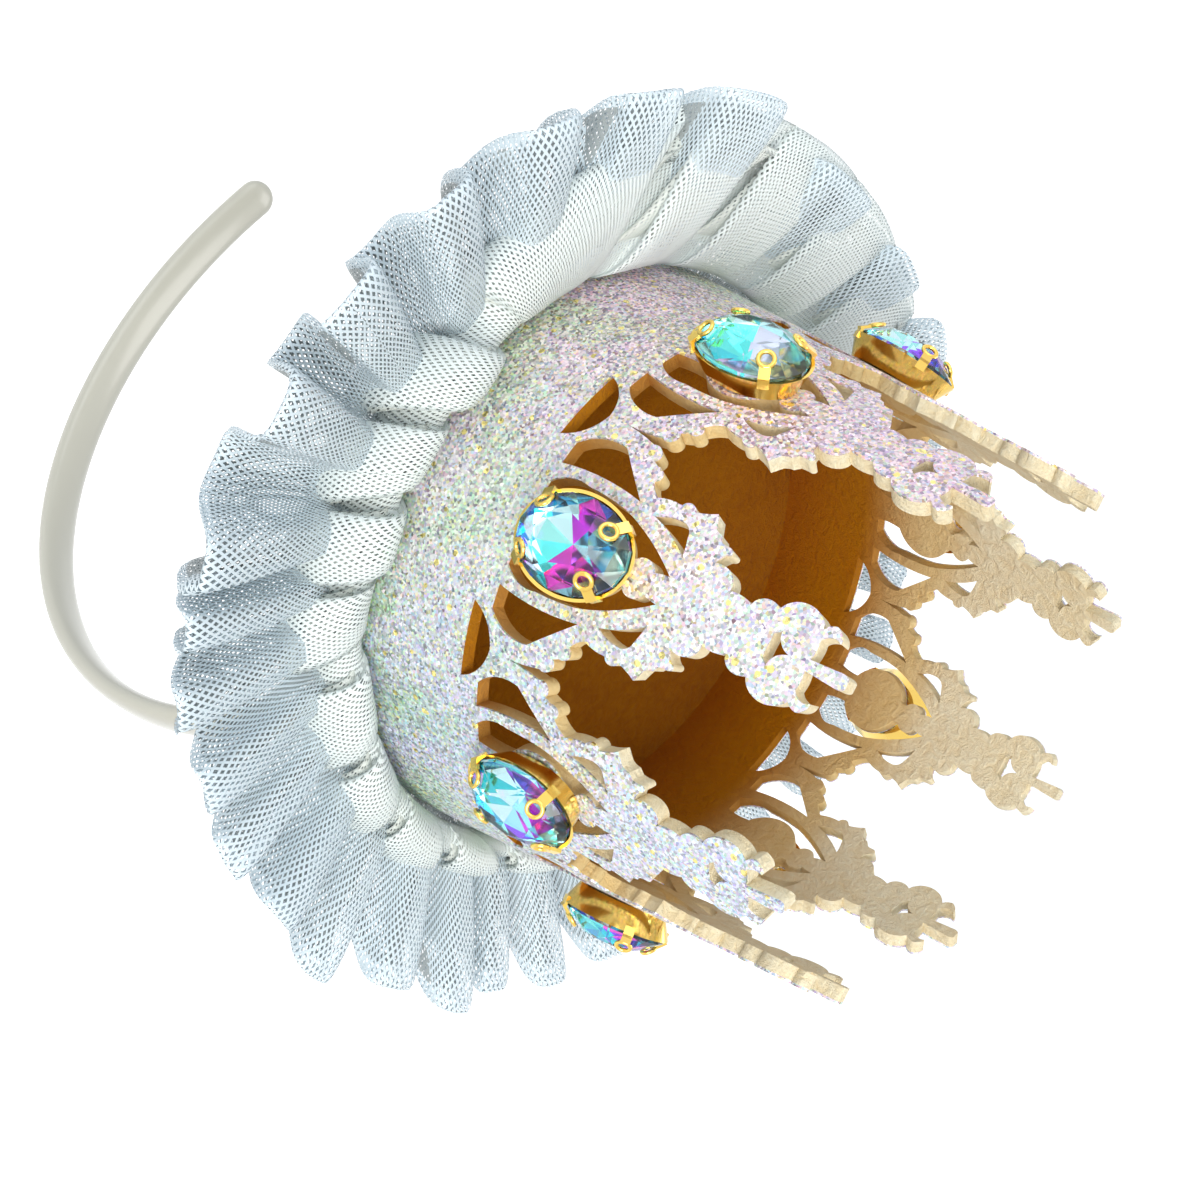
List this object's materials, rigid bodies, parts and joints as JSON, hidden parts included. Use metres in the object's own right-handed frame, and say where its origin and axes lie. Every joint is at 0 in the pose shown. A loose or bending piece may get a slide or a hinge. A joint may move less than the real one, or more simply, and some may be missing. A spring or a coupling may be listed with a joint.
{
  "type": "mini crown hair band",
  "caption": "Small openwork crown of glitter felt with claw-set oval crystals and a gathered net ruffle, glued to a curved hair band.",
  "frame": {"origin": "centre of the crown's lower edge, where it is glued down", "axes": "+Z along the crown's axis, from its lower edge to its tips; +X towards the point of stone_1, on the side where the hair band reaches furthest; +Y towards the point of stone_3"},
  "size_m": [0.1606, 0.1606, 0.2065],
  "materials": {
    "felt": "dense caramel craft felt, matte",
    "glitter": "white iridescent glitter with gold flecks",
    "pad_felt": "off-white craft felt",
    "net": "stiff white net with fine diamond mesh",
    "pearl_plastic": "ivory pearl, smooth",
    "gilt": "bright yellow gilt stamping",
    "crystal": "faceted, with a rainbow coating"
  },
  "bodies": {
    "root": {"crown_felt": "felt", "crown_facing": "glitter", "crown_floor": "felt", "base_pad": "pad_felt", "net_ruffle": "net", "net_frill": "net", "hair_band": "pearl_plastic", "setting_1": "gilt", "stone_1": "crystal", "setting_2": "gilt", "stone_2": "crystal", "setting_3": "gilt", "stone_3": "crystal", "setting_4": "gilt", "stone_4": "crystal", "setting_5": "gilt", "stone_5": "crystal", "setting_6": "gilt", "stone_6": "crystal", "setting_7": "gilt", "stone_7": "crystal", "setting_8": "gilt", "stone_8": "crystal"}
  },
  "joints": []
}
